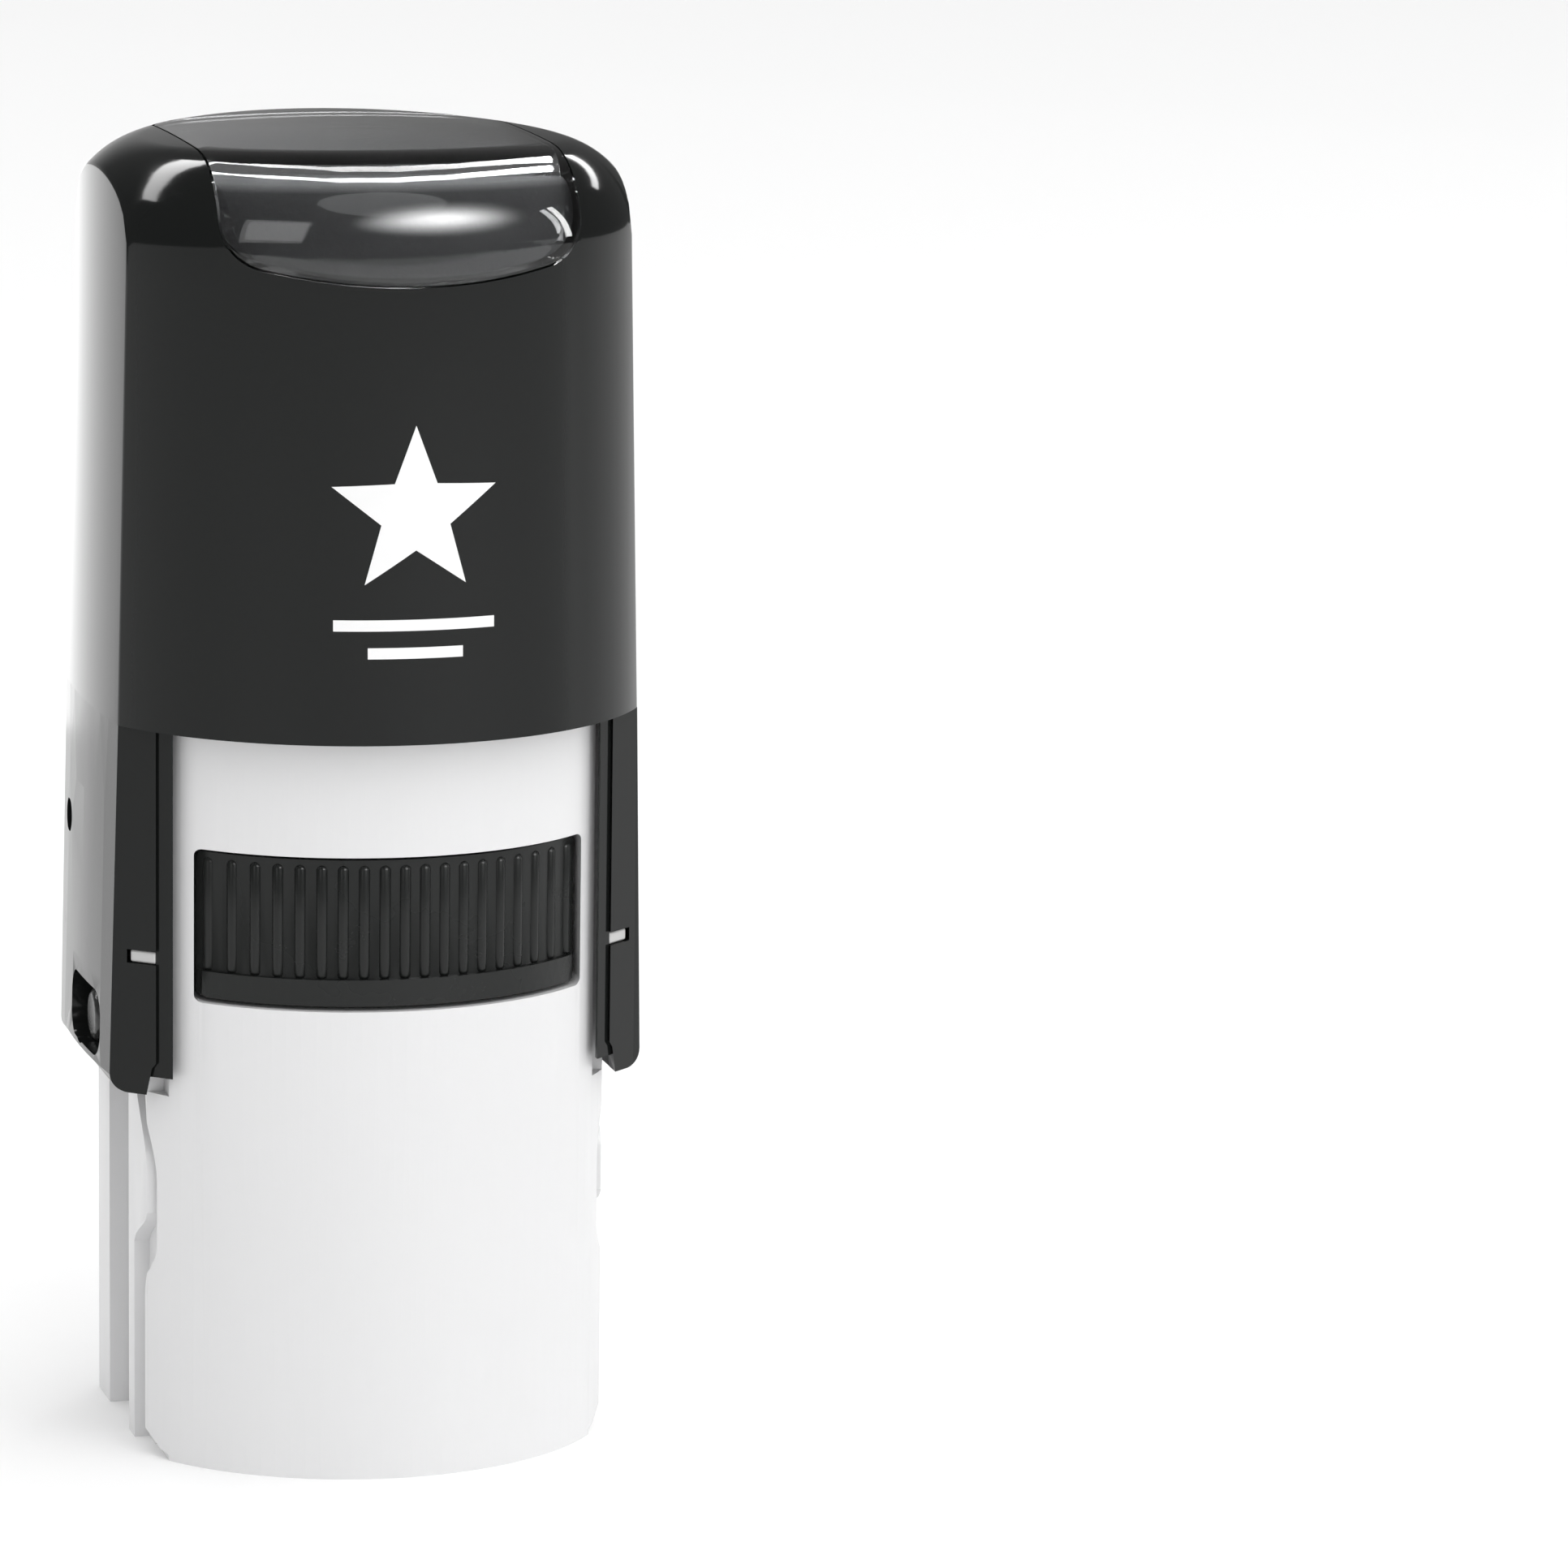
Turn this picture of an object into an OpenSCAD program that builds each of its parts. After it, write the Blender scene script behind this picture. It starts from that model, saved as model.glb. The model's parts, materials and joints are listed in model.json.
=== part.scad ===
// Self-inking rubber stamp for card making: a pressing cap on two legs slides down
// over a white base and turns the round text plate over, from the ink pad above it
// to the paper below. Millimetres. Origin: centre of the base's underside, on the
// press axis. +Z is up, -Y is the front (the side with the cartridge window).

/* [Overall] */
// Height of the whole stamp, cap up
stamp_h = 72.6; // [72.5:0.1:73]
// Distance the cap travels when it is pressed
press_travel = 17.2; // [16.8:0.1:17.2]
// Height of the text plate's axle above the paper, cap up
axle_z = 23.4; // [23.4:0.1:23.6]

/* [Cap] */
// Width across the corners of the cap's sides, at its lower rim
cap_w = 29.0; // [28.8:0.1:29.2]
// How far each cap side bows out between its corners
side_bow = 0.35; // [0.2:0.05:0.5]
// Radius of the cap's curved front and back, at its lower rim
cap_r = 16.4; // [16.3:0.05:16.6]
// Height of the cap's lower rim above the paper
cap_rim_z = 41.1; // [40.6:0.1:41.4]
// How much each cap side leans in, in millimetres per millimetre of height
cap_draft = 0.0215; // [0.018:0.0005:0.024]
// Radius of the top's crown from side to side
crown_side_r = 110; // [100:5:130]
// Radius of the top's crown from front to back
crown_front_r = 300; // [250:10:340]
// Rounding of the curved front and back top edges
front_edge_r = 4.4; // [4.2:0.1:4.6]
// Rounding of the straight side top edges
side_edge_r = 1.2; // [1.2:0.1:1.8]

/* [Index window] */
// Width of the clear index window
window_w = 19.8; // [18:0.2:20.4]
// Height of the window's lower edge above the paper, at its middle
window_z = 65.6; // [65.4:0.1:66.4]
// How far the window reaches back over the top, from the press axis
window_back = 8.6; // [6:0.2:9.4]
// Thickness of the clear window
window_t = 1.2; // [1:0.1:1.3]

/* [Legs] */
// Height of the leg bottoms above the paper, cap up
leg_bottom_z = 20.8; // [20.8:0.1:21.2]
// Inner face of the leg's side plate, from the press axis
leg_in_x = 13.2; // [13.15:0.05:13.3]
// Inner edge of the leg's front and back flanges
flange_x = 12.4; // [12.35:0.05:12.6]
// Length of the oval axle recess, front to back
hole_l = 7.8; // [7.4:0.1:8.2]
// Height of the oval axle recess
hole_h = 3.7; // [3.5:0.1:4.0]

/* [Base] */
// Radius of the base's curved front and back
base_r = 14.7; // [14.6:0.05:14.8]
// Half width across the base's upper flats
base_flat_x = 11.9; // [11.8:0.05:11.95]
// Half width across the base's foot
foot_x = 12.85; // [12.75:0.05:12.85]
// Height of the wide foot
foot_h = 20.6; // [20.2:0.1:20.7]
// Height of the base's upper edge, hidden in the cap
base_h = 46.0; // [45:0.5:46.4]
// Half width of the cartridge window
port_x = 10.8; // [10.6:0.05:10.85]
// Lower edge of the front cartridge window
port_z0 = 26.15; // [26.05:0.05:26.3]
// Upper edge of the cartridge window
port_z1 = 34.65; // [34.6:0.05:34.8]

/* [Text plate] */
// Diameter of the rubber text plate
plate_d = 16.8; // [16:0.2:17]
// Distance from the axle to the printing face
face_r = 6.2; // [6:0.05:6.2]
// Height of the raised printing lines
relief_h = 0.7; // [0.5:0.1:0.8]
// Radius of the arc the guide pins swing on
guide_r = 3.4; // [3.2:0.1:3.6]

/* [Spring] */
// Mean radius of the return spring's coils
spring_r = 4.5; // [4.3:0.1:4.8]
// Wire thickness of the return spring
wire_d = 1.1; // [0.9:0.05:1.2]
// Number of turns
spring_turns = 8; // [7:1:9]

/* [Hidden] */
$fn = 96;
far = 60;
slope = press_travel / PI;
cavity_r = 12.9;
cavity_x = 9.9;
pad_z = axle_z + face_r + 0.65;
pad_r = 9.4;
rail_z = pad_z - 0.35;
port_back_z0 = rail_z;
cart_x = port_x - 0.25;
cart_z0 = port_z0 + 0.25;
cart_z1 = port_z1 - 0.25;
deck_z = port_z1 + 1.85;
bridge_z = 64.0;
bridge_t = 1.8;
axle_r = 1.5;
axle_half = 14.6;
hole_y = -1.25;
hole_z = axle_z + 0.45;
hole_r = 1.45;
flange_cut = 0.33;
foot_edge = 1.4;
pin_r = 0.9;
rib_pitch = 1.1;
lip_h = 1.45;
card_t = 0.2;
pocket_inset = window_t + 0.5;
side_y = 7.66;
pin_steps = 28;
crown_flats = 22;

// ---------- shapes shared by several pieces ----------

function side_at(z) = cap_w / 2 - cap_draft * (z - cap_rim_z);
function round_at(z) = cap_r - cap_draft * (z - cap_rim_z);

// Half section of the cap's turned outline: leaning side, rounded edge, crown
module turned_half(inset) {
  e = max(front_edge_r - inset, 0.2);
  top = stamp_h + 0.15;
  xc = round_at(stamp_h - 5) - front_edge_r;
  zc = top - crown_front_r + sqrt(pow(crown_front_r - front_edge_r, 2) - xc * xc);
  intersection() {
    translate([0, 10]) square([30, 80]);
    union() {
      polygon([[0, 10], [round_at(10) - inset, 10], [round_at(zc) - inset, zc], [0, zc]]);
      intersection() {
        translate([0, 10]) square([xc, 80]);
        translate([0, top - crown_front_r]) circle(r = crown_front_r - inset, $fn = 180);
      }
      translate([xc, zc]) circle(r = e);
    }
  }
}

// Section across the cap: flat leaning sides, small edge rounding, crown in narrow flats
module flat_section(inset) {
  e = max(side_edge_r - inset, 0.1);
  xc = side_at(stamp_h - 3) + side_bow - max(side_edge_r, inset + 0.1);
  low = stamp_h - crown_side_r;
  zc = low + sqrt(pow(crown_side_r - inset - e, 2) - xc * xc);
  turn = atan2(zc - low, xc);
  n = crown_flats;
  polygon(concat(
    [[-side_at(10) - side_bow + inset, 10], [side_at(10) + side_bow - inset, 10]],
    [for (i = [0:4]) [xc + e * cos(turn * i / 4), zc + e * sin(turn * i / 4)]],
    [for (i = [1:n - 1]) let (a = turn + (180 - 2 * turn) * i / n, r = crown_side_r - inset)
      [r * cos(a), low + r * sin(a)]],
    [for (i = [4:-1:0]) [-xc - e * cos(turn * i / 4), zc + e * sin(turn * i / 4)]]));
}

// A section drawn in X and Z, carried along Y
module along_y(y0, y1) {
  translate([0, y1, 0]) rotate([90, 0, 0]) linear_extrude(y1 - y0) children();
}

// A section drawn in Y and Z, carried along X
module along_x(x0, x1) {
  translate([x0, 0, 0]) rotate([90, 0, 90]) linear_extrude(x1 - x0) children();
}

// The gently bowed sides that the cap and the legs share
module bowed_sides(inset) {
  r = (pow(side_y, 2) + pow(side_bow, 2)) / (2 * side_bow);
  back = r - side_at(cap_rim_z) - side_bow;
  intersection_for(s = [-1, 1]) translate([-s * back, 0, 10])
    cylinder(r1 = back + side_at(10) + side_bow - inset, r2 = back + side_at(80) + side_bow - inset,
             h = 70, $fn = 360);
}

// The cap's outer form, made smaller all over by inset
module cap_form(inset) {
  intersection() {
    rotate_extrude() turned_half(inset);
    along_y(-far, far) flat_section(inset);
    bowed_sides(inset);
  }
}

// Everything between two heights
module band(z0, z1) {
  translate([-far, -far, z0]) cube([2 * far, 2 * far, z1 - z0]);
}

// Round-ended plan with flat sides, from z0 to z1
module flatted(r, x, z0, z1) {
  intersection() {
    translate([0, 0, z0]) cylinder(r = r, h = z1 - z0);
    translate([-x, -far, z0]) cube([2 * x, 2 * far, z1 - z0]);
  }
}

// Rectangle in X and Z with rounded corners
module round_rect(x, z0, z1, r) {
  translate([-x, z0 + r]) square([2 * x, z1 - z0 - 2 * r]);
  translate([-x + r, z0]) square([2 * (x - r), z1 - z0]);
  for (s = [-1, 1]) {
    for (z = [z0 + r, z1 - r]) translate([s * (x - r), z]) circle(r = r, $fn = 32);
  }
}

// ---------- cap ----------

// Outline of the index window: arched lower edge, rounded corners
module window_region(shrink) {
  w = window_w / 2 - shrink;
  low = window_z + shrink;
  big = 40;
  c = 2.5;
  zc = low + big - sqrt(pow(big - c, 2) - pow(w - c, 2));
  back = window_back - shrink;
  intersection() {
    along_y(-far, back) union() {
      intersection() {
        translate([-w + c, low - 1]) square([2 * (w - c), 20]);
        translate([0, low + big]) circle(r = big, $fn = 180);
      }
      translate([-w, zc]) square([2 * w, 20]);
      for (s = [-1, 1]) translate([s * (w - c), zc]) circle(r = c, $fn = 48);
    }
    translate([0, 0, 50]) linear_extrude(40) union() {
      translate([-w, -far]) square([2 * w, far + back - c]);
      translate([-w + c, -far]) square([2 * (w - c), far + back]);
      for (s = [-1, 1]) translate([s * (w - c), back - c]) circle(r = c, $fn = 48);
    }
  }
}

module cap_shell() {
  color([0.12, 0.12, 0.13]) difference() {
    intersection() {
      cap_form(0);
      band(cap_rim_z, stamp_h + 5);
    }
    flatted(cap_r - 1.35, leg_in_x - 0.05, cap_rim_z - 1, bridge_z + bridge_t);
    flatted(12.4, 12.0, bridge_z, 68.4);
    difference() {
      window_region(0);
      cap_form(pocket_inset);
    }
  }
}

module index_window() {
  color([0.8, 0.82, 0.84, 0.45]) difference() {
    intersection() {
      cap_form(0);
      window_region(0.15);
    }
    cap_form(window_t);
  }
}

module index_card() {
  color([0.25, 0.25, 0.26]) difference() {
    intersection() {
      cap_form(window_t + 0.3);
      window_region(0.45);
    }
    cap_form(pocket_inset);
  }
}

// ---------- stirrup: two legs and the bridge that joins them ----------

// Plan of one leg, on the +X side
module leg_plan() {
  difference() {
    polygon([[flange_x, -9.5], [14.5, -side_y], [15.6, -6.85], [15.6, 6.85], [14.5, side_y],
             [flange_x, 9.5]]);
    intersection() {
      circle(r = base_r + 0.45);
      translate([0, -20]) square([leg_in_x, 40]);
    }
  }
}

// Thin inner lip beside each flange, close to the base
module lip_plan() {
  difference() {
    polygon([[11.9, -9.72], [flange_x + 0.6, -8.75], [flange_x + 0.6, 8.75], [11.9, 9.72]]);
    circle(r = base_r + 0.4);
  }
}

// Front view of one leg: rounded outer corner, cut-back inner corner
module leg_front() {
  r = 0.9;
  x1 = side_at(leg_bottom_z);
  x0 = flange_x + flange_cut;
  polygon([[x0, cap_rim_z], [x0, leg_bottom_z + 1.8], [x0 + 0.2, leg_bottom_z + 1.5], [x0 + 0.45, leg_bottom_z],
           [x1 - r, leg_bottom_z], [x1 - r, leg_bottom_z + r], [x1 + 1, leg_bottom_z + r],
           [x1 + 1, cap_rim_z]]);
  translate([x1 - r, leg_bottom_z + r]) circle(r = r, $fn = 48);
}

module leg() {
  difference() {
    union() {
      intersection() {
        translate([0, 0, leg_bottom_z]) linear_extrude(cap_rim_z - leg_bottom_z) leg_plan();
        along_y(-far, far) leg_front();
        bowed_sides(0);
        rotate_extrude() turned_half(0);
      }
      translate([0, 0, leg_bottom_z + 1.0]) linear_extrude(cap_rim_z - leg_bottom_z - 1.0) lip_plan();
      translate([12.2, -5, cap_rim_z - 2.8]) cube([1.6, 10, 2.8]);
      translate([12.2, -5, cap_rim_z - 2.8]) cube([0.95, 10, bridge_z + bridge_t - cap_rim_z + 2.8]);
    }
    // oval recess around the axle's end, and the bearing hole through its floor
    along_x(leg_in_x + 0.65, 20) translate([hole_y, hole_z]) {
      translate([hole_r - hole_l / 2, -hole_h / 2]) square([hole_l - 2 * hole_r, hole_h]);
      translate([-hole_l / 2, hole_r - hole_h / 2]) square([hole_l, hole_h - 2 * hole_r]);
      for (a = [-1, 1], b = [-1, 1]) translate([a * (hole_l / 2 - hole_r), b * (hole_h / 2 - hole_r)])
        circle(r = hole_r, $fn = 48);
    }
    along_x(10, 20) translate([0, axle_z]) circle(r = axle_r + 0.05, $fn = 64);
    // small catch slit behind the axle hole
    translate([12, 4.85, axle_z + 9.45]) cube([5, 0.4, 1.8]);
    along_x(12, 17) for (y = [4.85, 5.25]) translate([y, axle_z + 10.35]) circle(r = 0.9, $fn = 32);
    // tick slots through both flanges
    for (s = [-1, 1]) translate([flange_x + 0.3, s * 8.1 - 1.6, 28.05]) cube([1.4, 3.2, 0.75]);
  }
}

module stirrup() {
  color([0.13, 0.13, 0.14]) {
    for (s = [0, 1]) mirror([s, 0, 0]) leg();
    difference() {
      union() {
        translate([-12.2, -5, bridge_z]) cube([24.4, 10, bridge_t]);
        translate([0, 0, bridge_z]) cylinder(r = 8.0, h = bridge_t);
        translate([0, 0, bridge_z - 3]) cylinder(r = spring_r - wire_d / 2 - 0.45, h = 3.2);
      }
      translate([0, 0, bridge_z - 4]) cylinder(r = 1.6, h = 8);
    }
  }
}

// ---------- spring ----------

// Corner points of a coiled wire with flat-lying end turns
function spring_point(t, a) =
  let (turn = spring_turns * t,
       end_t = 0.1,
       rise = t < end_t ? 0.5 * t * t / end_t : (t > 1 - end_t ? (1 - end_t) - 0.5 * pow(1 - t, 2) / end_t
              : t - 0.5 * end_t),
       z = deck_z + wire_d / 2 + 0.02 + (bridge_z - deck_z - wire_d - 0.04) * rise / (1 - end_t),
       rad = spring_r + wire_d / 2 * cos(a))
  [rad * cos(360 * turn), rad * sin(360 * turn), z + wire_d / 2 * sin(a)];

module return_spring() {
  n = spring_turns * 26;
  m = 8;
  color([0.7, 0.7, 0.72]) polyhedron(
    points = [for (i = [0:n]) for (j = [0:m - 1]) spring_point(i / n, 360 * j / m + 22.5)],
    faces = concat(
      [for (i = [0:n - 1]) for (j = [0:m - 1])
        [i * m + j, i * m + (j + 1) % m, (i + 1) * m + (j + 1) % m, (i + 1) * m + j]],
      [[for (j = [m - 1:-1:0]) j]],
      [[for (j = [0:m - 1]) n * m + j]]));
}

// ---------- base ----------

function ramp(t) = let (c = min(max(t, 0), 1)) c * c * (3 - 2 * c);
function bump(z, top, high, low, bottom) = z > high ? ramp((top - z) / (top - high))
  : (z < low ? ramp((z - bottom) / (low - bottom)) : 1);
// Edge of the front wall and of the middle land beside the side groove
function wall_y(z) = -6.6 - 1.25 * bump(z, 21.5, 15.6, 11.9, 9.0);
function land_y(z) = -3.5 - 3.7 * bump(z, 21.5, 16.0, 13.8, 11.2);

// The wavy groove down each outer side, drawn in Y and Z
module side_groove() {
  n = 46;
  dz = (foot_h + 2) / n;
  polygon(concat([for (i = [0:n]) [wall_y(i * dz - 1), i * dz - 1]],
                 [for (i = [n:-1:0]) [land_y(i * dz - 1), i * dz - 1]]));
}

// Centre line of a guide pin while the plate turns over
function guide_point(a) = [guide_r * sin(a), axle_z - slope * a * PI / 180 - guide_r * cos(a)];
function guide_dir(a) = let (d = guide_point(a + 0.5) - guide_point(a - 0.5)) d / norm(d);

// Groove for the guide pins, inside the side walls
module guide_groove(w) {
  for (a = [0, 180]) translate(guide_point(a)) circle(r = w, $fn = 48);
  polygon(concat(
    [for (i = [0:pin_steps]) let (a = 180 * i / pin_steps, d = guide_dir(a)) guide_point(a) + w * [d[1], -d[0]]],
    [for (i = [pin_steps:-1:0]) let (a = 180 * i / pin_steps, d = guide_dir(a)) guide_point(a) - w * [d[1], -d[0]]]));
}

module base_shell() {
  color([0.93, 0.93, 0.92]) difference() {
    union() {
      flatted(base_r, base_flat_x, 0, base_h);
      difference() {
        flatted(base_r, foot_x, 0, foot_h);
        // eased lower corners on both sides of the curved front
        for (s = [0, 1]) mirror([s, 0, 0]) along_y(-far, -5.2)
          polygon([[foot_x + 0.4, foot_edge + 0.6], [foot_x - 0.4 * foot_edge, 0.4 * foot_edge],
                   [foot_x - foot_edge - 0.6, -0.4], [foot_x + 1, -0.4], [foot_x + 1, foot_edge + 0.6]]);
      }
      // guide rails up the sides, inside the legs
      intersection() {
        flatted(base_r, foot_x, foot_h - 1, base_h - 2);
        for (s = [-1, 1]) translate([-far, s * 6.3 - 0.9, 0]) cube([2 * far, 1.8, far]);
      }
    }
    // room for the turning plate, up to the cartridge
    difference() {
      flatted(cavity_r, cavity_x, -1, rail_z + 0.1);
      // stiffening web under the back window
      translate([-far, 12.2, 4]) cube([2 * far, 5, 2]);
    }
    // cartridge passage, open at the front and at the back
    flatted(cavity_r, port_x, rail_z, port_z1);
    along_y(-20, 0) round_rect(port_x, port_z0, port_z1, 0.4);
    along_y(0, 20) round_rect(port_x, port_back_z0, port_z1, 0.4);
    // open top with the spring's well
    difference() {
      flatted(base_r - 1.5, base_flat_x - 1.3, deck_z, base_h + 1);
      translate([0, 0, deck_z - 1]) cylinder(r = spring_r - wire_d / 2 - 0.45, h = 6);
    }
    // through slots for the axle
    along_x(-20, 20) union() {
      translate([-axle_r - 0.35, axle_z - press_travel]) square([2 * axle_r + 0.7, press_travel]);
      for (z = [axle_z - press_travel, axle_z]) translate([0, z]) circle(r = axle_r + 0.35, $fn = 64);
    }
    for (s = [0, 1]) mirror([s, 0, 0]) {
      // blind guide grooves, turning the plate over
      along_x(cavity_x - 1, cavity_x + 0.95) guide_groove(pin_r + 0.35);
      // recess around the axle slot, and the wavy groove in front of it
      translate([foot_x - 1.1, -1.85, -1]) cube([5, 5.7, foot_h + 3.2]);
      along_x(foot_x - 0.85, 20) side_groove();
    }
  }
}

// ---------- ink cartridge ----------

module ink_cartridge() {
  n = floor((cart_x - 0.9) / rib_pitch);
  wall_out = base_r - 0.6;
  color([0.1, 0.1, 0.11]) difference() {
    intersection() {
     union() {
      // front wall, the finger grip seen in the window
      intersection() {
        difference() {
          cylinder(r = wall_out, h = far);
          cylinder(r = wall_out - 1.9, h = 3 * far, center = true);
        }
        along_y(-20, -5) round_rect(cart_x, cart_z0, cart_z1, 0.4);
      }
      // proud lip under the ribs
      intersection() {
        flatted(wall_out + 0.3, cart_x - 0.2, cart_z0, cart_z0 + lip_h);
        difference() {
          along_y(-20, -5) round_rect(cart_x - 0.1, cart_z0, cart_z1, 0.4);
          cylinder(r = wall_out - 1, h = 3 * far, center = true);
        }
      }
      // upright grip ribs
      for (i = [-n:n]) let (x = i * rib_pitch)
        translate([x, -sqrt(pow(wall_out, 2) - x * x) + 0.08, cart_z0 + lip_h])
          cylinder(r = 0.32, h = cart_z1 - cart_z0 - lip_h - 0.25, $fn = 16);
      // tray roof and the collar that holds the pad
      flatted(wall_out - 0.9, cart_x, pad_z + 2.75, cart_z1);
      flatted(pad_r + 0.9, cart_x, pad_z + 0.15, cart_z1);
      // back edge
      intersection() {
        difference() {
          flatted(wall_out, cart_x, rail_z + 0.2, cart_z1);
          cylinder(r = wall_out - 1.9, h = 3 * far, center = true);
        }
        along_y(5, 20) round_rect(cart_x, rail_z + 0.2, cart_z1, 0.4);
      }
     }
     along_y(-20, 20) round_rect(cart_x, cart_z0, cart_z1, 0.4);
    }
    translate([0, 0, pad_z - 3]) cylinder(r = pad_r, h = 5.75);
  }
}

module ink_pad() {
  color([0.1, 0.1, 0.16]) translate([0, 0, pad_z]) cylinder(r = pad_r, h = 2.75);
}

// ---------- turning text plate ----------

module die_axle() {
  color([0.14, 0.14, 0.15]) rotate([0, 90, 0]) translate([-axle_z, 0, -axle_half])
    cylinder(r = axle_r, h = 2 * axle_half);
}

module guide_pins() {
  color([0.75, 0.75, 0.77]) for (s = [-1, 1])
    along_x(s * 9.6 - 1.1, s * 9.6 + 1.1) translate([0, axle_z - guide_r]) circle(r = pin_r, $fn = 48);
}

module rotor_yoke() {
  arm_w = 1.9;
  color([0.16, 0.16, 0.17]) difference() {
    union() {
      along_x(-9.5, 9.5) translate([0, axle_z]) circle(r = 2.35, $fn = 64);
      translate([-6.5, -4.2, axle_z + 1.2]) cube([13, 8.4, 1.2]);
      translate([-6.5, -2.0, axle_z]) cube([13, 4.0, 1.4]);
      for (s = [-1, 1]) along_x(s * 9.0 - 0.5, s * 9.0 + 0.5) {
        translate([-arm_w, axle_z - guide_r]) square([2 * arm_w, guide_r]);
        translate([0, axle_z - guide_r]) circle(r = arm_w, $fn = 48);
      }
    }
    along_x(-20, 20) translate([0, axle_z]) circle(r = axle_r);
    along_x(-20, 20) translate([0, axle_z - guide_r]) circle(r = pin_r, $fn = 48);
  }
}

module die_plate() {
  color([0.85, 0.85, 0.85]) translate([0, 0, axle_z + 2.4]) difference() {
    cylinder(r = 9.0, h = 1.6);
    translate([0, 0, 1.2]) cylinder(r = plate_d / 2 + 0.1, h = 2);
  }
}

module die_cushion() {
  color([0.5, 0.5, 0.52]) translate([0, 0, axle_z + 3.6]) cylinder(r = plate_d / 2, h = 1.1);
}

// Half of each star point is raised, so the star prints as alternating facets
module star_facets(r_out, r_in) {
  for (i = [0:4]) rotate(72 * i + 90)
    polygon([[0.35, 0.1], [r_out, 0.1], [r_in * cos(36), r_in * sin(36)]]);
}

module text_plate() {
  z0 = axle_z + 4.7;
  top = axle_z + face_r;
  color([0.35, 0.12, 0.1]) {
    translate([0, 0, z0]) cylinder(r = plate_d / 2, h = top - relief_h - z0);
    translate([0, 0, top - relief_h]) difference() {
      cylinder(r = plate_d / 2 - 0.3, h = relief_h);
      translate([0, 0, -1]) cylinder(r = plate_d / 2 - 0.9, h = relief_h + 2);
    }
    translate([0, 0, top - relief_h]) linear_extrude(relief_h) star_facets(6.9, 2.7);
  }
}

cap_shell();
stirrup();
index_window();
index_card();
return_spring();
base_shell();
ink_cartridge();
ink_pad();
rotor_yoke();
die_axle();
guide_pins();
die_plate();
die_cushion();
text_plate();
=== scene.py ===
import json
import math

import bmesh
import bpy
from mathutils import Matrix, Vector


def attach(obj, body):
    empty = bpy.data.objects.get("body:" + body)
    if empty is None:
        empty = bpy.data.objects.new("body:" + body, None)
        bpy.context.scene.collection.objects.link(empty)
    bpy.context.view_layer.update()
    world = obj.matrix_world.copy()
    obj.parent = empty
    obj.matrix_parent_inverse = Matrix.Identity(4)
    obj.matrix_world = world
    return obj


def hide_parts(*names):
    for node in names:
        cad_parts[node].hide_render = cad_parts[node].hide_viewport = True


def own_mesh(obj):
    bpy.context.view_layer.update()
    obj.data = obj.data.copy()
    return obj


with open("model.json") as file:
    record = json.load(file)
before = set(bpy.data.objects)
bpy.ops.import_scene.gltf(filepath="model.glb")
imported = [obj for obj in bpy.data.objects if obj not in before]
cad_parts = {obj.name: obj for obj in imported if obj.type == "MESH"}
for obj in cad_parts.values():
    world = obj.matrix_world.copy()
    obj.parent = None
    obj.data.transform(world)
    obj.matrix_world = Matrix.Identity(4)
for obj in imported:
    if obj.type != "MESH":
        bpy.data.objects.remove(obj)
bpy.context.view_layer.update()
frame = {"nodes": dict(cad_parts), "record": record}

mm = 0.001
print("stage: frame loaded")

plasticLook = {
    "smudgeScale": 90.0,      # size of the faint handling marks, per metre
    "grainScale": 2600.0,     # fine moulded grain, per metre
    "grainHeight": 0.000006,  # depth of that grain in metres
    "scuffScale": 420.0,      # spacing of the small rubbed spots, per metre
    "scuffRough": 0.10,       # how much rougher a rubbed spot is
}


def newMaterial(name):
    mat = bpy.data.materials.new(name)
    mat.use_nodes = True
    return mat, mat.node_tree, mat.node_tree.nodes["Principled BSDF"]


def addNoise(tree, coord, scale, detail, rough=0.5):
    noise = tree.nodes.new("ShaderNodeTexNoise")
    noise.inputs["Scale"].default_value = scale
    noise.inputs["Detail"].default_value = detail
    noise.inputs["Roughness"].default_value = rough
    tree.links.new(coord.outputs["Object"], noise.inputs["Vector"])
    return noise


def addRange(tree, source, low, high, fromLow=0.35, fromHigh=0.65):
    ranged = tree.nodes.new("ShaderNodeMapRange")
    ranged.inputs["From Min"].default_value = fromLow
    ranged.inputs["From Max"].default_value = fromHigh
    ranged.inputs["To Min"].default_value = low
    ranged.inputs["To Max"].default_value = high
    tree.links.new(source, ranged.inputs["Value"])
    return ranged


def addSum(tree, one, two):
    total = tree.nodes.new("ShaderNodeMath")
    total.operation = "ADD"
    tree.links.new(one, total.inputs[0])
    tree.links.new(two, total.inputs[1])
    return total


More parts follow.
